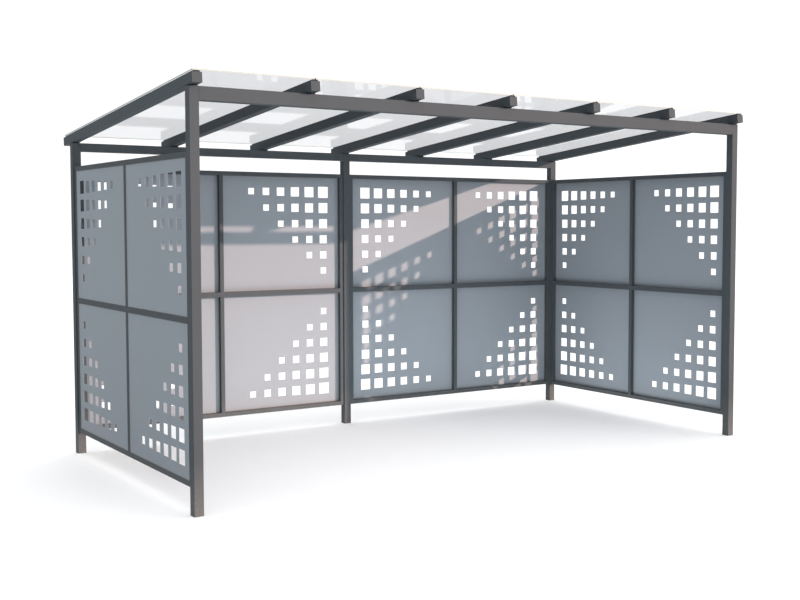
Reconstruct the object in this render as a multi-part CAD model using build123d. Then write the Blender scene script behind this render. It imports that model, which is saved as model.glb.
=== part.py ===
# Bike shelter: an open-fronted steel frame with perforated walls and a sloping glass roof.
# Set-out: x runs along the shelter, y from the open front to the back wall, z up from the ground.
# All sizes are in millimetres. The finished part is moved so that its origin is at the
# middle of its footprint, on the ground.
import math
import os

from build123d import *

# Overall frame
overall_length = 4455
overall_depth = 2225
front_height = 2415
rear_height = 2225

# Posts and beams
post_size = 60
post_wall = 3
tube_corner_radius = 4
end_plate_thickness = 5
front_beam_height = 80
rear_beam_height = 60
beam_wall = 3

# Rafters and their tapered packers
rafter_count = 7
rafter_width = 60
rafter_height = 60
rafter_wall = 2.5
rafter_cap_thickness = 3
front_overhang = 50
rear_overhang = 145
packer_thin_edge = 2
packer_inset = 5

# Roof glass on rubber strips
strip_width = 36
strip_thickness = 8
strip_end_inset = 2
glass_thickness = 8
glass_side_inset = 5
glass_rear_gap = 17
glass_joint_width = 8

# Wall frames
panel_bottom = 156
panel_height = 1900
frame_face = 32
frame_depth = 40
frame_wall = 2
mid_rail_face = 36

# Perforated sheets: square holes in a triangle that points to each outer corner of a wall
sheet_thickness = 2
sheet_recess = 5
hole_rows = 6
hole_pitch = 127
corner_hole_size = 90
hole_size_step = 8
hole_margin_height = 117
hole_margin_side_wall = 120
hole_margin_back_wall = 136

# Values worked out from the sizes above
post_gap_depth = overall_depth - 2 * post_size
bay_length = (overall_length - 3 * post_size) / 2
middle_post_x = post_size + bay_length
right_post_x = overall_length - post_size
rear_post_y = overall_depth - post_size
panel_setback = (post_size - frame_depth) / 2
roof_angle = math.atan2(front_height - rear_height, rear_post_y)
rafter_length = (front_overhang + overall_depth + rear_overhang) / math.cos(roof_angle)
rafter_spacing = (overall_length - rafter_width) / (rafter_count - 1)
bottom_corner = (Align.MIN, Align.MIN, Align.MIN)


def underside_of_rafters(y):
    """Height of the rafters' lower face: it falls evenly, and clears the beams' rear edges."""
    return front_height + packer_thin_edge + (post_size - y) * math.tan(roof_angle)


# Roof frame of reference: x along the shelter, y down the slope, z square to the glass.
roof = Pos(0, -front_overhang, underside_of_rafters(-front_overhang)) * Rot(X=-math.degrees(roof_angle))
rafter_rear_y = -front_overhang + rafter_length * math.cos(roof_angle) + rafter_height * math.sin(roof_angle)
to_origin = Pos(-overall_length / 2, -(rafter_rear_y - front_overhang) / 2, 0)


def save(name, *solids):
    """Move the solids of one piece to the part's origin and write them as one file."""
    moved = [to_origin * solid for solid in solids]
    export_step(moved[0] if len(moved) == 1 else Compound(children=moved), f"parts/{name}.step")


def tube_section(width, height, wall):
    """Rectangular hollow section with rounded outer corners, its low corner at the origin."""
    outer = RectangleRounded(width, height, tube_corner_radius)
    bore = Rectangle(width - 2 * wall, height - 2 * wall)
    return Pos(width / 2, height / 2) * (outer - bore)


def bore_plate(width, height, wall, thickness):
    """Plate that closes the bore of a tube section, flat on the same plane as its end."""
    plate = extrude(Rectangle(width - 2 * wall, height - 2 * wall), thickness)
    return Pos(width / 2, height / 2) * plate


def upright_tube(x, y, bottom, top):
    """Square post tube standing between two heights."""
    return Pos(x, y, bottom) * extrude(tube_section(post_size, post_size, post_wall), top - bottom)


def beam(x_start, x_end, y, top, height):
    """Beam tube laid along x, with its top face at a height."""
    section = Plane.YZ * tube_section(post_size, height, beam_wall)
    return Pos(x_start, y, top - height) * extrude(section, x_end - x_start)


def posts():
    """Five posts, each closed by a foot plate and a cap plate welded flush into the bore."""
    places = {
        "front_left": (0, 0, front_height),
        "front_right": (right_post_x, 0, front_height),
        "rear_left": (0, rear_post_y, rear_height),
        "rear_middle": (middle_post_x, rear_post_y, rear_height),
        "rear_right": (right_post_x, rear_post_y, rear_height),
    }
    plate = bore_plate(post_size, post_size, post_wall, end_plate_thickness)
    feet = []
    caps = []
    for name, (x, y, height) in places.items():
        save(f"{name}_post", upright_tube(x, y, 0, height))
        feet.append(Pos(x, y, 0) * plate)
        caps.append(Pos(x, y, height - end_plate_thickness) * plate)
    save("post_foot_plates", *feet)
    save("post_cap_plates", *caps)


def beams():
    """The front beam spans the open side, the rear beam runs in two lengths between posts."""
    save("front_beam", beam(post_size, right_post_x, 0, front_height, front_beam_height))
    for name, start in (("left", post_size), ("right", middle_post_x + post_size)):
        save(f"rear_{name}_beam", beam(start, start + bay_length, rear_post_y, rear_height, rear_beam_height))


def rafter_x(index):
    """Left side of a rafter, counted from 0 at the left."""
    return index * rafter_spacing


def packer(index, y_front, seat_height):
    """Wedge under a rafter, from the level top of a beam or post up to the sloping rafter."""
    front = y_front + packer_inset
    rear = y_front + post_size - packer_inset
    side = Plane.YZ * Polygon(
        (front, seat_height),
        (rear, seat_height),
        (rear, underside_of_rafters(rear)),
        (front, underside_of_rafters(front)),
        align=None,
    )
    wedge = extrude(side, rafter_width - 2 * packer_inset)
    return Pos(rafter_x(index) + packer_inset, 0, 0) * wedge


def rafters():
    """Seven tubes laid down the slope, with flat caps in both ends and packers on the beams."""
    tube = extrude(Plane.XZ * tube_section(rafter_width, rafter_height, rafter_wall), -rafter_length)
    plate = bore_plate(rafter_width, rafter_height, rafter_wall, rafter_cap_thickness)
    front_cap = Pos(0, rafter_cap_thickness, 0) * Rot(X=90) * plate
    rear_cap = Pos(0, rafter_length, 0) * Rot(X=90) * plate
    everywhere = range(rafter_count)
    for index in everywhere:
        save(f"rafter_{index + 1}", roof * Pos(rafter_x(index), 0, 0) * tube)
    save("rafter_front_caps", *[roof * Pos(rafter_x(index), 0, 0) * front_cap for index in everywhere])
    save("rafter_rear_caps", *[roof * Pos(rafter_x(index), 0, 0) * rear_cap for index in everywhere])
    save("front_rafter_packers", *[packer(index, 0, front_height) for index in everywhere])
    save("rear_rafter_packers", *[packer(index, rear_post_y, rear_height) for index in everywhere])


def roof_slab(x_start, x_end, y_start, y_end, bottom, thickness):
    """Flat piece of the roof, given in the roof's own frame of reference."""
    return roof * Pos(x_start, y_start, bottom) * Box(
        x_end - x_start, y_end - y_start, thickness, align=bottom_corner
    )


def glazing():
    """Rubber strips on the rafters, glass panes on the strips, and seals between the panes."""
    glass_bottom = rafter_height + strip_thickness
    glass_rear = rafter_length - glass_rear_gap
    strip_rear = glass_rear - strip_end_inset
    middles = [rafter_x(index) + rafter_width / 2 for index in range(rafter_count)]
    strips = []
    for middle in middles:
        left = middle - strip_width / 2
        strips.append(roof_slab(left, left + strip_width, strip_end_inset, strip_rear,
                                rafter_height, strip_thickness))
    save("glazing_strips", *strips)
    joints = middles[1:-1]
    lefts = [glass_side_inset] + [joint + glass_joint_width / 2 for joint in joints]
    rights = [joint - glass_joint_width / 2 for joint in joints] + [overall_length - glass_side_inset]
    for index, (left, right) in enumerate(zip(lefts, rights)):
        pane = roof_slab(left, right, 0, glass_rear, glass_bottom, glass_thickness)
        save(f"roof_glass_{index + 1}", pane)
    seals = [roof_slab(joint - glass_joint_width / 2, joint + glass_joint_width / 2, 0, glass_rear,
                       glass_bottom, glass_thickness) for joint in joints]
    save("glass_joint_seals", *seals)


def mitred_member(length, face):
    """Frame tube lying along x, its outer face down, both ends cut at 45 degrees."""
    def trapezium(offset, height):
        return Polygon(
            (offset, offset),
            (length - offset, offset),
            (length - height, height),
            (height, height),
            align=None,
        )
    solid = extrude(Plane.XZ * trapezium(0, face), -frame_depth)
    bore = extrude(Plane.XZ * trapezium(frame_wall, face - frame_wall), -(frame_depth - 2 * frame_wall))
    return solid - Pos(0, frame_wall, 0) * bore


def straight_member(length, face):
    """Frame tube lying along x, both ends cut square."""
    section = Rectangle(frame_depth, face) - Rectangle(frame_depth - 2 * frame_wall, face - 2 * frame_wall)
    return Pos(0, frame_depth / 2, face / 2) * extrude(Plane.YZ * section, length)


def perforated_sheet(width, height, margin):
    """Sheet with its perforated corner at the origin: rows of holes that shorten and shrink."""
    face = Rectangle(width, height, align=(Align.MIN, Align.MIN))
    holes = []
    for row in range(hole_rows):
        for column in range(hole_rows - row):
            size = corner_hole_size - hole_size_step * (row + column)
            place = Pos(margin + column * hole_pitch, hole_margin_height + row * hole_pitch)
            holes.append(place * Rectangle(size, size))
    return extrude(Plane.XZ * (face - holes), -sheet_thickness)


def wall(name, width, margin, place):
    """Wall frame with three rails, two stiles, a mullion and four perforated sheets.

    In the wall's own frame x runs along it, y goes in from its outer face and z goes up.
    """
    clear_width = width - 2 * frame_face
    pane_width = (clear_width - frame_face) / 2
    pane_height = (panel_height - 2 * frame_face - mid_rail_face) / 2
    mid_bottom = frame_face + pane_height
    upper_bottom = mid_bottom + mid_rail_face
    mullion_x = frame_face + pane_width
    rail = mitred_member(width, frame_face)
    stile = mitred_member(panel_height, frame_face)
    mullion = Rot(Y=-90) * straight_member(pane_height, frame_face)
    rails = [
        rail,
        Pos(0, 0, panel_height) * mirror(rail, Plane.XY),
        Pos(frame_face, 0, mid_bottom) * straight_member(clear_width, mid_rail_face),
    ]
    left_stile = mirror(Rot(Y=-90) * stile, Plane.YZ)
    uprights = [
        left_stile,
        Pos(width, 0, 0) * mirror(left_stile, Plane.YZ),
        Pos(mullion_x + frame_face, 0, frame_face) * mullion,
        Pos(mullion_x + frame_face, 0, upper_bottom) * mullion,
    ]
    sheet = Pos(0, sheet_recess, 0) * perforated_sheet(pane_width, pane_height, margin)
    right_sheet = mirror(sheet, Plane.YZ)
    lower = [Pos(frame_face, 0, frame_face) * sheet, Pos(width - frame_face, 0, frame_face) * right_sheet]
    upper = [
        Pos(frame_face, 0, panel_height - frame_face) * mirror(sheet, Plane.XY),
        Pos(width - frame_face, 0, panel_height - frame_face) * mirror(right_sheet, Plane.XY),
    ]
    groups = {"rails": rails, "uprights": uprights, "lower_sheets": lower, "upper_sheets": upper}
    for group, solids in groups.items():
        save(f"{name}_{group}", *[place * solid for solid in solids])


def walls():
    """Two side walls between front and rear posts, and two back walls beside the middle post."""
    back_y = overall_depth - panel_setback
    wall("left_wall", post_gap_depth, hole_margin_side_wall,
         Pos(panel_setback, rear_post_y, panel_bottom) * Rot(Z=-90))
    wall("right_wall", post_gap_depth, hole_margin_side_wall,
         Pos(overall_length - panel_setback, post_size, panel_bottom) * Rot(Z=90))
    wall("back_left_wall", bay_length, hole_margin_back_wall,
         Pos(middle_post_x, back_y, panel_bottom) * Rot(Z=180))
    wall("back_right_wall", bay_length, hole_margin_back_wall,
         Pos(right_post_x, back_y, panel_bottom) * Rot(Z=180))


os.makedirs("parts", exist_ok=True)
posts()
beams()
rafters()
glazing()
walls()
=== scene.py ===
# %% [markdown]
# # A bike shelter with perforated walls and a glass roof
#
# The steel frame, the sheets and the glass come ready-made from the measured model. This lesson
# gives them their finishes, adds the small things that a maker would see from close by, and sets
# up the light and the camera. Everything is in metres: x runs along the shelter, y from its open
# front to the back wall, and z up.

# %% Load the measured shelter
import math

import bmesh
import bpy
import numpy as np
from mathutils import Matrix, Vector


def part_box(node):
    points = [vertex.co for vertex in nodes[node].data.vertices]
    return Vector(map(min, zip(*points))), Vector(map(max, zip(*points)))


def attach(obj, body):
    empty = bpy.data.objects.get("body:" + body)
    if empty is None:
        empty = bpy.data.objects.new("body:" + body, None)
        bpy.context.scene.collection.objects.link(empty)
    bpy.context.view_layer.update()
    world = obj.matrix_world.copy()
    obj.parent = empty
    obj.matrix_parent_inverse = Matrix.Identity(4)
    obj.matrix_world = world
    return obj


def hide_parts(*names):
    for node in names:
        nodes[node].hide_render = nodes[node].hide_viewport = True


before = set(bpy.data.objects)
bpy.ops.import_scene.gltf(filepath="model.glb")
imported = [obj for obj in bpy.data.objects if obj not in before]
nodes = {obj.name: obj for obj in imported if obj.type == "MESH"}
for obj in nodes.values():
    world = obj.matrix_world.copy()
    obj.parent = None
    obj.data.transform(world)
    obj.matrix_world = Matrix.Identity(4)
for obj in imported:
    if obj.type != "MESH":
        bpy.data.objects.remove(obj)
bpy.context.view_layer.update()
print("nodes loaded:", len(nodes))

# %% [markdown]
# ## Where the viewer stands
#
# The viewer stands before the open front, past its left end, with the eye 1.65 m above the
# ground. The camera looks only three and a half degrees down, so that the posts hardly lean, and
# a small lens shift frames the picture. The lens is a normal one, of about 50 mm.

# %% Place the camera
PICTURE_WIDTH = 800
PICTURE_HEIGHT = 600
FOCAL_PIXELS = 1138.96
VIEW_CENTRE = (440.03, 292.35)
EYE = (-4.6519, -7.1677, 1.651)
LOOK_DOWN = 0.060
LOOK_RIGHT = 0.599
SENSOR_WIDTH = 36.0
FAR_LIMIT = 200.0


def put_in_scene(name, data):
    """New object in the scene, which shows the data."""
    thing = bpy.data.objects.new(name, data)
    bpy.context.scene.collection.objects.link(thing)
    return thing


camera_data = bpy.data.cameras.new("viewer")
camera_data.sensor_width = SENSOR_WIDTH
camera_data.lens = SENSOR_WIDTH * FOCAL_PIXELS / PICTURE_WIDTH
camera_data.shift_x = (PICTURE_WIDTH / 2 - VIEW_CENTRE[0]) / PICTURE_WIDTH
camera_data.shift_y = (VIEW_CENTRE[1] - PICTURE_HEIGHT / 2) / PICTURE_WIDTH
camera_data.clip_end = FAR_LIMIT
camera = put_in_scene("viewer", camera_data)
camera.location = EYE
camera.rotation_euler = (math.pi / 2 - LOOK_DOWN, 0.0, -LOOK_RIGHT)
bpy.context.scene.camera = camera
print("lens in millimetres:", round(camera_data.lens, 2))

# %% [markdown]
# ## Sun
#
# The low evening sun comes from the right of the open front. It slips under the front beam, and
# lays the shadows of the beam, a rafter and the right wall's holes on the back wall. Light that
# meets the sun only by chance, after the glass has bent it, is left out, because it would show
# as specks.

# %% Hang the sun
SUN_TRAVEL = np.array([-1.005, 1.0, -0.384])
SUN_COLOUR = (1.0, 0.69, 0.57)
SUN_ENERGY = 6.6
SUN_WIDTH = math.radians(0.6)

sun_data = bpy.data.lights.new("low_sun", type="SUN")
sun_data.energy = SUN_ENERGY
sun_data.color = SUN_COLOUR
sun_data.angle = SUN_WIDTH
sun_data.cycles.use_multiple_importance_sampling = False
sun = put_in_scene("low_sun", sun_data)
sun.rotation_euler = (
    math.acos(-SUN_TRAVEL[2] / np.linalg.norm(SUN_TRAVEL)),
    0.0,
    math.atan2(SUN_TRAVEL[0], -SUN_TRAVEL[1]) + math.pi,
)
print("sun height in degrees:", round(90 - math.degrees(sun.rotation_euler.x), 1))

# %% [markdown]
# ## Studio
#
# Round the shelter glows a soft studio, with one plain tone for each of five sides. The left is
# the darkest, and keeps the faces that look that way dark. The parts of a direction, squared,
# add up to one, so they blend the five tones without a seam. Each part is first held above or
# below nothing, to tell a side from the one across.

# %% Light the studio
GLOW_RIGHT = (1.35, 1.35, 1.35)
GLOW_LEFT = (0.37, 0.37, 0.38)
GLOW_BACK = (1.07, 1.07, 1.07)
GLOW_FRONT = (1.18, 1.18, 1.18)
GLOW_TOP = (1.97, 1.98, 2.0)
NOTHING = (0.0, 0.0, 0.0)


def feed(tree, target, given):
    """Give an input what it needs: a socket is linked to it, and a value is set on it."""
    if isinstance(given, bpy.types.NodeSocket):
        tree.links.new(given, target)
    else:
        target.default_value = given


def vector_step(tree, operation, *given):
    """Output of a new vector math node, fed with sockets or values."""
    node = tree.nodes.new("ShaderNodeVectorMath")
    node.operation = operation
    for target, value in zip(node.inputs, given):
        feed(tree, target, value)
    return node.outputs["Vector"]


world = bpy.data.worlds.new("soft_studio")
bpy.context.scene.world = world
world.use_nodes = True
studio = world.node_tree
studio.nodes.clear()
direction = studio.nodes.new("ShaderNodeTexCoord").outputs["Generated"]
tone = NOTHING
for limit, glows in (
    ("MAXIMUM", {"X": GLOW_RIGHT, "Y": GLOW_BACK, "Z": GLOW_TOP}),
    ("MINIMUM", {"X": GLOW_LEFT, "Y": GLOW_FRONT}),
):
    part = vector_step(studio, limit, direction, NOTHING)
    squares = studio.nodes.new("ShaderNodeSeparateXYZ")
    feed(studio, squares.inputs["Vector"], vector_step(studio, "MULTIPLY", part, part))
    for axis, glow in glows.items():
        tone = vector_step(studio, "MULTIPLY_ADD", squares.outputs[axis], glow, tone)
background = studio.nodes.new("ShaderNodeBackground")
studio_output = studio.nodes.new("ShaderNodeOutputWorld")
feed(studio, background.inputs["Color"], tone)
feed(studio, studio_output.inputs["Surface"], background.outputs["Background"])
bpy.context.scene.view_settings.view_transform = "Standard"
print("studio nodes:", len(studio.nodes))

# %% [markdown]
# ## Floor
#
# A plain pale floor takes the soft shadows. It is one large square, a stage and not a part of the
# shelter. The sun leaves it out, so that only soft shade lies on it.

# %% Lay the floor
FLOOR_REACH = 60.0
FLOOR_COLOUR = (0.92, 0.92, 0.92)
FLOOR_ROUGHNESS = 0.9
NO_SHINE = 0.0


def plain_mesh(name, points, faces):
    """Mesh object from an array of points and a list of faces, in metres."""
    mesh = bpy.data.meshes.new(name)
    corners = np.asarray(points, float).reshape(-1, 3).tolist()
    mesh.from_pydata(corners, [], [list(map(int, face)) for face in faces])
    mesh.update()
    return put_in_scene(name, mesh)


def new_finish(name, shine):
    """New material, with its node tree and its shader; shine is how strongly it reflects."""
    material = bpy.data.materials.new(name)
    material.use_nodes = True
    shader = material.node_tree.nodes["Principled BSDF"]
    shader.inputs["Specular IOR Level"].default_value = shine
    return material, material.node_tree, shader


square = np.array([[-1, -1, 0], [1, -1, 0], [1, 1, 0], [-1, 1, 0]]) * FLOOR_REACH
floor = plain_mesh("floor", square, [(0, 1, 2, 3)])
floor_material, _, floor_shader = new_finish("pale_floor", NO_SHINE)
floor_shader.inputs["Base Color"].default_value = (*FLOOR_COLOUR, 1.0)
floor_shader.inputs["Roughness"].default_value = FLOOR_ROUGHNESS
floor.data.materials.append(floor_material)

not_in_sun = bpy.data.collections.new("not_in_sun")
not_in_sun.objects.link(floor)
sun.light_linking.receiver_collection = not_in_sun
not_in_sun.collection_objects[0].light_linking.link_state = "EXCLUDE"
print("floor side in metres:", 2 * FLOOR_REACH)

# %% [markdown]
# ## Light thrown back inside
#
# The sunny ground inside the shelter would throw light up at the walls and the roof. The floor is
# out of the sun here, so a soft light that lies on it and shines upwards takes the place of that.

# %% Soft light from the ground
BOUNCE_LENGTH = 3.6
BOUNCE_DEPTH = 1.6
BOUNCE_PLACE = (0.2, -0.1, 0.01)
BOUNCE_POWER = 47.0
BOUNCE_COLOUR = (1.0, 0.995, 0.99)

bounce_data = bpy.data.lights.new("ground_bounce", type="AREA")
bounce_data.shape = "RECTANGLE"
bounce_data.size = BOUNCE_LENGTH
bounce_data.size_y = BOUNCE_DEPTH
bounce_data.energy = BOUNCE_POWER
bounce_data.color = BOUNCE_COLOUR
bounce = put_in_scene("ground_bounce", bounce_data)
bounce.location = BOUNCE_PLACE
bounce.rotation_euler = (math.pi, 0.0, 0.0)
bounce.visible_camera = False
bounce.visible_glossy = False
bounce.visible_transmission = False
print("ground light in square metres:", round(BOUNCE_LENGTH * BOUNCE_DEPTH, 2))

# %% [markdown]
# ## How a finish is built
#
# A surface that is the same all over looks like plastic. Every finish here starts from noise,
# which blends two tones, spreads the gloss and raises a fine relief. The noise is read in the
# object's own place, so the pattern stays put when the viewer moves. Each helper below is one
# step of a finish.

# %% Steps of a finish


def add_node(tree, kind, **inputs):
    """New shader node, with some of its inputs set by name."""
    node = tree.nodes.new(kind)
    for name, value in inputs.items():
        node.inputs[name.replace("_", " ")].default_value = value
    return node


def own_place(tree):
    """Output that gives a point's place in its object."""
    return add_node(tree, "ShaderNodeTexCoord").outputs["Object"]


def noise(tree, settings):
    """Output that wanders between nothing and one from place to place."""
    node = add_node(tree, "ShaderNodeTexNoise", **settings)
    feed(tree, node.inputs["Vector"], own_place(tree))
    return node.outputs["Fac"]


def spread(tree, value, low, high, start=0.0, end=1.0):
    """Number that goes in a straight line from low to high while the value goes start to end."""
    node = add_node(
        tree, "ShaderNodeMapRange", From_Min=start, From_Max=end, To_Min=low, To_Max=high)
    feed(tree, node.inputs["Value"], value)
    return node.outputs["Result"]


def blend(tree, share, first, second):
    """Colour that goes from the first to the second as the share goes from nothing to one."""
    node = add_node(tree, "ShaderNodeMix")
    node.data_type = "RGBA"
    feed(tree, node.inputs["Factor"], share)
    feed(tree, node.inputs["A"], first)
    feed(tree, node.inputs["B"], second)
    return node.outputs["Result"]


def relief(tree, shader, height, strength, depth):
    """Fine bumps, depth metres high where the height is one; a low strength eases them."""
    bump = add_node(tree, "ShaderNodeBump", Strength=strength, Distance=depth)
    feed(tree, bump.inputs["Height"], height)
    feed(tree, shader.inputs["Normal"], bump.outputs["Normal"])


print("steps of a finish:", ", ".join(step.__name__ for step in (noise, spread, blend, relief)))

# %% [markdown]
# ## Powder coat
#
# Frame and sheets carry baked powder coat. From close by it has a fine orange-peel skin, its
# gloss wanders a little, and dust gathers near the ground. Two coats share one recipe.

# %% Mix the coats
CLOUDS = {"Scale": 2.3, "Detail": 4.0, "Roughness": 0.55}
SPECKS = {"Scale": 55.0, "Detail": 5.0, "Roughness": 0.65}
PEEL = {"Scale": 420.0, "Detail": 2.0, "Roughness": 0.5}
PEEL_DEPTH = 0.0004
GLOSS_BELOW = 0.05
GLOSS_ABOVE = 0.06
DUST = (0.30, 0.29, 0.27, 1.0)
DUST_REACH = 0.32
DUST_MOST = 0.34


def powder_coat(name, dark, light, roughness, shine, peel):
    """Coat whose tone and gloss wander by large noise, and which is dusty near the ground.

    The dust's share falls in a straight line from the ground to its reach, times fine noise.
    """
    material, tree, shader = new_finish(name, shine)
    clouds = noise(tree, CLOUDS)
    height = add_node(tree, "ShaderNodeSeparateXYZ")
    feed(tree, height.inputs["Vector"], own_place(tree))
    near_ground = spread(tree, height.outputs["Z"], DUST_MOST, 0.0, end=DUST_REACH)
    dust_share = add_node(tree, "ShaderNodeMath")
    dust_share.operation = "MULTIPLY"
    feed(tree, dust_share.inputs[0], near_ground)
    feed(tree, dust_share.inputs[1], noise(tree, SPECKS))
    clean = blend(tree, clouds, dark, light)
    dusty = blend(tree, dust_share.outputs["Value"], clean, DUST)
    gloss = spread(tree, clouds, roughness - GLOSS_BELOW, roughness + GLOSS_ABOVE)
    feed(tree, shader.inputs["Base Color"], dusty)
    feed(tree, shader.inputs["Roughness"], gloss)
    relief(tree, shader, noise(tree, PEEL), peel, PEEL_DEPTH)
    return material


frame_coat = powder_coat(
    "anthracite_coat",
    dark=(0.046, 0.0565, 0.064, 1.0),
    light=(0.053, 0.063, 0.071, 1.0),
    roughness=0.64,
    shine=0.06,
    peel=0.10,
)
sheet_coat = powder_coat(
    "blue_grey_coat",
    dark=(0.180, 0.210, 0.239, 1.0),
    light=(0.192, 0.222, 0.252, 1.0),
    roughness=0.60,
    shine=0.15,
    peel=0.08,
)
print("coats:", frame_coat.name, sheet_coat.name)

# %% [markdown]
# ## Roof glass
#
# The panes are clear and faintly grey. They mirror the sky only weakly, so the index is set far
# below that of real glass. A slight veil of dried rain makes parts of them less sharp.

# %% Melt the glass
GLASS_TINT = (0.748, 0.757, 0.776, 1.0)
GLASS_SHINE = 0.5
GLASS_INDEX = 1.045
RAIN = {"Scale": 3.0, "Detail": 6.0, "Roughness": 0.6}
RAIN_START = 0.55
RAIN_END = 0.80
RAIN_VEIL = 0.004


def clear_glass(name):
    """Glass whose roughness rises from nothing to a slight veil where noise is high."""
    material, tree, shader = new_finish(name, GLASS_SHINE)
    shader.inputs["Base Color"].default_value = GLASS_TINT
    shader.inputs["Transmission Weight"].default_value = 1.0
    shader.inputs["IOR"].default_value = GLASS_INDEX
    veil = spread(tree, noise(tree, RAIN), 0.0, RAIN_VEIL, start=RAIN_START, end=RAIN_END)
    feed(tree, shader.inputs["Roughness"], veil)
    return material


roof_glass = clear_glass("float_glass")
print("glass:", roof_glass.name)

# %% [markdown]
# ## Rubber and ground edges
#
# The rubber of the strips and packers is black and dull, with a fine grain. The ground edges of
# the panes are milky and faintly green, with a finer grain still. Both are one grainy skin.

# %% Press the rubber, grind the glass
RUBBER_GRAIN = {"Scale": 240.0, "Detail": 3.0, "Roughness": 0.6}
GROUND_GRAIN = {"Scale": 310.0, "Detail": 3.0, "Roughness": 0.6}
GRAIN_STRENGTH = 0.2
RUBBER_BLACK = 0.005
RUBBER_LIGHTER = 1.6


def grainy_skin(name, dark, light, shine, gloss, grain, depth):
    """Skin whose fine noise blends two tones, spreads the gloss and raises the relief."""
    material, tree, shader = new_finish(name, shine)
    fine = noise(tree, grain)
    feed(tree, shader.inputs["Base Color"], blend(tree, fine, dark, light))
    feed(tree, shader.inputs["Roughness"], spread(tree, fine, *gloss))
    relief(tree, shader, fine, GRAIN_STRENGTH, depth)
    return material


def dull_rubber(name, tone):
    """Grey or black rubber, whose light tone is a fixed number of times its dark one."""
    lighter = tone * RUBBER_LIGHTER
    return grainy_skin(
        name,
        dark=(tone, tone, tone, 1.0),
        light=(lighter, lighter, lighter, 1.0),
        shine=0.20,
        gloss=(0.62, 0.80),
        grain=RUBBER_GRAIN,
        depth=0.0003,
    )


glass_edge = grainy_skin(
    "ground_glass_edge",
    dark=(0.23, 0.28, 0.27, 1.0),
    light=(0.31, 0.36, 0.35, 1.0),
    shine=0.4,
    gloss=(0.45, 0.65),
    grain=GROUND_GRAIN,
    depth=0.0002,
)
strip_rubber = dull_rubber("strip_rubber", RUBBER_BLACK)
packer_rubber = dull_rubber("packer_rubber", RUBBER_BLACK)
print("skins:", glass_edge.name, strip_rubber.name, packer_rubber.name)

# %% [markdown]
# ## Give every piece its finish
#
# A piece's material follows from its name. The tubes of the wall frames have edges that are a
# little rounded by rolling and by the coat, and a narrow bevel shows that as a thin light line.
# The glass has ground edges, which look milky. The measured pieces arrive as loose triangles and
# are left as they are, so copies with joined points take these finishes and stand in for them.

# %% Coat, glaze and round the edges
EDGE_WIDTH = 0.0014
EDGE_STEPS = 2
SHARP_EDGE = math.radians(40)
JOIN_DISTANCE = 0.0001
LEVEL_NORMAL = 0.5


def finish_for(name):
    """Material for a node, by the words in its name."""
    if "sheets" in name:
        return sheet_coat
    if "glass_joint" in name or "strips" in name:
        return strip_rubber
    if "packers" in name:
        return packer_rubber
    if "roof_glass" in name:
        return roof_glass
    return frame_coat


def joined_copy(name, node):
    """Copy of a node with its points joined, which stands in for it."""
    mesh = node.data.copy()
    joined = bmesh.new()
    joined.from_mesh(mesh)
    bmesh.ops.remove_doubles(joined, verts=joined.verts, dist=JOIN_DISTANCE)
    joined.to_mesh(mesh)
    joined.free()
    piece = put_in_scene(name + "_finished", mesh)
    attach(piece, "root")
    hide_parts(name)
    return piece


def round_edges(piece):
    """Narrow bevel on every sharp edge."""
    bevel = piece.modifiers.new("round_edges", "BEVEL")
    bevel.width = EDGE_WIDTH
    bevel.segments = EDGE_STEPS
    bevel.limit_method = "ANGLE"
    bevel.angle_limit = SHARP_EDGE


def grind_edges(piece):
    """Second finish for a pane's narrow faces, which are those whose normal lies nearly level."""
    faces = piece.data.polygons
    normals = np.empty(3 * len(faces))
    faces.foreach_get("normal", normals)
    piece.data.materials.append(glass_edge)
    narrow = np.abs(normals[2::3]) < LEVEL_NORMAL
    faces.foreach_set("material_index", narrow.astype(np.int32))


for name, node in list(nodes.items()):
    for material_slot in node.material_slots:
        material_slot.material = finish_for(name)
    if "rails" in name or "uprights" in name:
        round_edges(joined_copy(name, node))
    elif "roof_glass" in name:
        grind_edges(joined_copy(name, node))
print("pieces finished:", len(nodes))

# %% [markdown]
# ## Small things from numpy
#
# Three small things are missing from the measured model: a bead of sealant where each sheet meets
# its frame, the screws that fix the frames to the posts, and the ground welds at the frame
# corners. Each is a profile or a grid worked out as one array of points. The helpers below turn
# such grids into meshes, and turn them the right way out by the sign of their volume.

# %% Turn grids of points into pieces


def ring_faces(rings, points):
    """Quads of a grid that closes on itself both ways: each quad joins a point to the next ring."""
    ring, point = np.meshgrid(np.arange(rings), np.arange(points), indexing="ij")
    next_ring = (ring + 1) % rings
    next_point = (point + 1) % points
    quads = np.stack([
        ring * points + point,
        next_ring * points + point,
        next_ring * points + next_point,
        ring * points + next_point,
    ], axis=-1)
    return quads.reshape(-1, 4)


def facing_out(points, quads):
    """The quads, reversed if the volume inside is negative.

    The volume is a sixth of the sum, over all triangles, of the triple product of their corners.
    """
    corners = points[quads]
    volume = sum(
        np.einsum("ij,ij->i", corners[:, 0], np.cross(corners[:, a], corners[:, b])).sum()
        for a, b in ((1, 2), (2, 3))
    )
    return quads if volume > 0 else quads[:, ::-1]


def piece_from_parts(name, parts, material):
    """One riding piece from a list of (points, quads), each turned the right way out."""
    offsets = np.cumsum([0] + [len(points) for points, _ in parts[:-1]])
    points = np.concatenate([points for points, _ in parts])
    quads = np.concatenate([
        facing_out(part_points, part_quads) + offset
        for (part_points, part_quads), offset in zip(parts, offsets)
    ])
    piece = plain_mesh(name, points, quads)
    piece.data.materials.append(material)
    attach(piece, "root")
    print(name, "faces:", len(quads))
    return piece


print("quads round a ring of four by six points:", len(ring_faces(4, 6)))

# %% [markdown]
# ## Know the four walls
#
# All four walls are alike, so every small thing is made in a wall's own directions: along the
# wall, in from its outer face, and up. The sheets' boxes say where the panes are. A mullion as
# wide as the frame's face parts the two panes of a row, and the mid rail parts the two rows.

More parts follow.
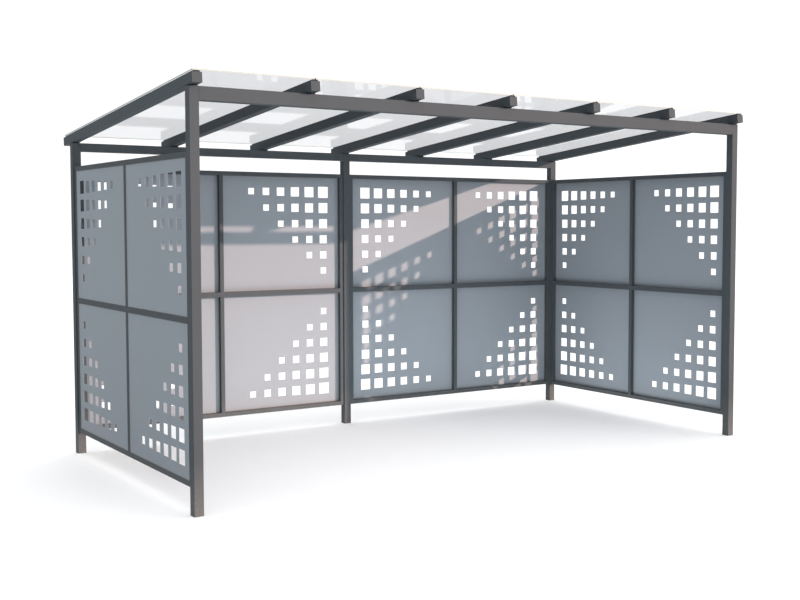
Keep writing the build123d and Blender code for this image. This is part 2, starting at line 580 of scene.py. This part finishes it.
# %% Read the walls from the measured boxes
FRAME_FACE = 0.032
FRAME_DEPTH = 0.040
SHEET_RECESS = 0.005
MID_RAIL_FACE = 0.036
WALLS = ("left_wall", "back_left_wall", "back_right_wall", "right_wall")


def wall_facts(wall):
    """Directions, the plane of the frame's outer face, and the panes of a wall.

    The wall runs along the longer side of its sheets' box, and out is away from the shelter's
    middle. A pane is its start and end along the wall, and its bottom and top.
    """
    low, high = (np.array(corner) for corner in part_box(wall + "_lower_sheets"))
    _, top_high = (np.array(corner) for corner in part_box(wall + "_upper_sheets"))
    run = 0 if high[0] - low[0] > high[1] - low[1] else 1
    across = 1 - run
    out_sign = 1.0 if low[across] + high[across] > 0 else -1.0
    sheet_out = high[across] if out_sign > 0 else low[across]
    middle = (low[run] + high[run]) / 2
    spans = [(low[run], middle - FRAME_FACE / 2), (middle + FRAME_FACE / 2, high[run])]
    rows = [(low[2], high[2]), (high[2] + MID_RAIL_FACE, top_high[2])]
    return {
        "run": run,
        "across": across,
        "out_sign": out_sign,
        "frame_out": sheet_out + out_sign * SHEET_RECESS,
        "middle": middle,
        "spans": spans,
        "rows": rows,
    }


def in_wall(facts, along, inward, up):
    """Points from a wall's own values: along it, in from the frame's outer face, and up."""
    along, inward, up = np.broadcast_arrays(along, inward, up)
    points = np.empty(along.shape + (3,))
    points[..., facts["run"]] = along
    points[..., facts["across"]] = facts["frame_out"] - facts["out_sign"] * inward
    points[..., 2] = up
    return points


walls = {wall: wall_facts(wall) for wall in WALLS}
for wall, facts in walls.items():
    print(wall, "pane width:", round(float(facts["spans"][0][1] - facts["spans"][0][0]), 4))

# %% [markdown]
# ## Sealant
#
# A sheet sits 5 mm behind the outer face of its frame, and a bead of sealant fills the corner
# round it, inside and out. The bead's profile is a hollow quarter circle, carried round the four
# sides of the pane and mitred at its corners.

# %% Run the beads
BEAD_INSIDE = 0.004
BEAD_OUTSIDE = 0.003
SHEET_THICKNESS = 0.002
ARC_STEPS = 5
PANE_CORNERS = 4
SEALANT_GREY = 0.10


def bead(facts, span, row, sheet_face, radius, way):
    """Bead round a pane, against one face of its sheet.

    The profile is a quarter circle about a point one radius from both the frame and the sheet:
    its distance from the frame is r - r cos(t), its height over the sheet r - r sin(t). A last
    point in the corner closes it. Each profile point keeps its distance from all four sides.
    """
    turn = np.linspace(0.0, math.pi / 2, ARC_STEPS)
    from_frame = np.append(radius - radius * np.cos(turn), 0.0)
    over_sheet = np.append(radius - radius * np.sin(turn), 0.0)
    along = np.array([span[0], span[1], span[1], span[0]])[:, None]
    up = np.array([row[0], row[0], row[1], row[1]])[:, None]
    along_inward = np.array([1, -1, -1, 1])[:, None]
    up_inward = np.array([1, 1, -1, -1])[:, None]
    points = in_wall(
        facts,
        along + along_inward * from_frame,
        sheet_face + way * over_sheet,
        up + up_inward * from_frame,
    )
    return points.reshape(-1, 3), ring_faces(PANE_CORNERS, ARC_STEPS + 1)


sealant = dull_rubber("grey_sealant", SEALANT_GREY)
for wall, facts in walls.items():
    beads = []
    for span in facts["spans"]:
        for row in facts["rows"]:
            beads.append(bead(facts, span, row, SHEET_RECESS, BEAD_OUTSIDE, -1))
            beads.append(bead(facts, span, row, SHEET_RECESS + SHEET_THICKNESS, BEAD_INSIDE, 1))
    piece_from_parts(wall + "_sealant", beads, sealant)

# %% [markdown]
# ## Screws
#
# Button-head screws go through each stile into the post behind it. They sit deep in the reveal,
# on the stile's face towards the pane, where they hardly show. A head is a low dome turned round
# its axis, with a six-sided socket: near the middle, the turned radius follows a hexagon.

# %% Drive the screws
HEAD_RADIUS = 0.007
HEAD_HEIGHT = 0.0044
RING_RADII = np.array([0.0, 1.0, 1.0, 0.93, 0.75, 0.52])
RING_HEIGHTS = np.array([0.0, 0.0, 0.22, 0.52, 0.85, 1.0])
SOCKET_FLAT = 0.0025
SOCKET_DEPTH = 0.0026
HEAD_TURNS = 24
SCREW_FROM_CORNER = 0.17
SCREW_DEPTH = 0.024
SAME_POINT = 0.00001


def screw_head():
    """Points and quads of a head at the origin, its axis along z.

    The dome is six rings, whose radii and heights are shares of the head's: a closed foot, a
    short upright rim, and three rings that curve in to the top. The socket's radius at an angle
    is the flat's distance over the cosine of the angle from the nearest flat's middle.
    """
    angle = np.linspace(0.0, 2 * math.pi, HEAD_TURNS, endpoint=False)
    flat_angle = (angle + math.pi / 6) % (math.pi / 3) - math.pi / 6
    hexagon = SOCKET_FLAT / np.cos(flat_angle)
    radius = np.concatenate([
        np.repeat(HEAD_RADIUS * RING_RADII[:, None], HEAD_TURNS, axis=1),
        hexagon[None, :],
        hexagon[None, :],
        np.zeros((1, HEAD_TURNS)),
    ])
    floor_height = HEAD_HEIGHT - SOCKET_DEPTH
    socket_heights = [HEAD_HEIGHT, floor_height, floor_height]
    height = np.concatenate([HEAD_HEIGHT * RING_HEIGHTS, socket_heights])
    grid = np.stack([
        radius * np.cos(angle),
        radius * np.sin(angle),
        np.repeat(height[:, None], HEAD_TURNS, axis=1),
    ], axis=-1)
    row, turn = np.meshgrid(np.arange(len(height) - 1), np.arange(HEAD_TURNS), indexing="ij")
    after = (turn + 1) % HEAD_TURNS
    quads = np.stack([
        row * HEAD_TURNS + turn,
        row * HEAD_TURNS + after,
        (row + 1) * HEAD_TURNS + after,
        (row + 1) * HEAD_TURNS + turn,
    ], axis=-1).reshape(-1, 4)
    return grid.reshape(-1, 3), quads


head_points, head_quads = screw_head()
for wall, facts in walls.items():
    heads = []
    ends = ((facts["spans"][0][0], 1.0), (facts["spans"][1][1], -1.0))
    for along, towards_pane in ends:
        for bottom, top in facts["rows"]:
            for up in (bottom + SCREW_FROM_CORNER, (bottom + top) / 2, top - SCREW_FROM_CORNER):
                heads.append((
                    in_wall(
                        facts,
                        along + towards_pane * head_points[:, 2],
                        SCREW_DEPTH + head_points[:, 0],
                        up + head_points[:, 1],
                    ),
                    head_quads,
                ))
    screws = piece_from_parts(wall + "_screws", heads, frame_coat)
    join = screws.modifiers.new("join_points", "WELD")
    join.merge_threshold = SAME_POINT

# %% [markdown]
# ## Ground welds
#
# Where frame tubes meet, the weld is ground nearly flat before coating, and a faint ridge stays.
# A ridge is a low prism: its section is a flat arch a quarter of a millimetre high, and a face
# closes each of its ends.

# %% Lay the weld ridges
RIDGE_WIDTH = 0.0022
RIDGE_HEIGHT = 0.00025
RIDGE_STEPS = 4
PANEL_FACES = ((0.0, -1.0), (FRAME_DEPTH, 1.0))


def ridge(start, end, side, outward):
    """Ridge between two points of a face, with its width along side and its crest outward.

    Across its width the height follows half a cosine wave, from nothing to nothing.
    """
    across = np.linspace(-0.5, 0.5, RIDGE_STEPS)
    section = (across[:, None] * RIDGE_WIDTH * side
               + np.cos(across * math.pi)[:, None] * RIDGE_HEIGHT * outward)
    points = np.stack([start + section, end + section])
    first = np.arange(RIDGE_STEPS)
    after = (first + 1) % RIDGE_STEPS
    sides = np.stack([first, after, RIDGE_STEPS + after, RIDGE_STEPS + first], axis=-1)
    ends = np.stack([first[::-1], RIDGE_STEPS + first])
    return points.reshape(-1, 3), np.concatenate([sides, ends])


def weld_lines(facts):
    """Where a wall's welds run, as pairs of (along, up): mitres, mid rail ends, mullion ends."""
    left, right = facts["spans"][0][0], facts["spans"][1][1]
    bottom, top = facts["rows"][0][0], facts["rows"][1][1]
    mid_rail = (facts["rows"][0][1], facts["rows"][1][0])
    mullion = (facts["middle"] - FRAME_FACE / 2, facts["middle"] + FRAME_FACE / 2)
    lines = []
    for along, step in ((left, -1.0), (right, 1.0)):
        for up, rise in ((bottom, -1.0), (top, 1.0)):
            lines.append(((along, up), (along + step * FRAME_FACE, up + rise * FRAME_FACE)))
        lines.append(((along, mid_rail[0]), (along, mid_rail[1])))
    for row in facts["rows"]:
        for up in row:
            lines.append(((mullion[0], up), (mullion[1], up)))
    return lines


def wall_welds(facts):
    """Ridges along all the weld lines of a wall, on its outer and its inner face."""
    parts = []
    for depth, way in PANEL_FACES:
        outward = in_wall(facts, 0.0, depth + way, 0.0) - in_wall(facts, 0.0, depth, 0.0)
        for first, second in weld_lines(facts):
            start = in_wall(facts, first[0], depth, first[1])
            end = in_wall(facts, second[0], depth, second[1])
            side = np.cross(end - start, outward)
            parts.append(ridge(start, end, side / np.linalg.norm(side), outward))
    return parts


for wall, facts in walls.items():
    piece_from_parts(wall + "_welds", wall_welds(facts), frame_coat)
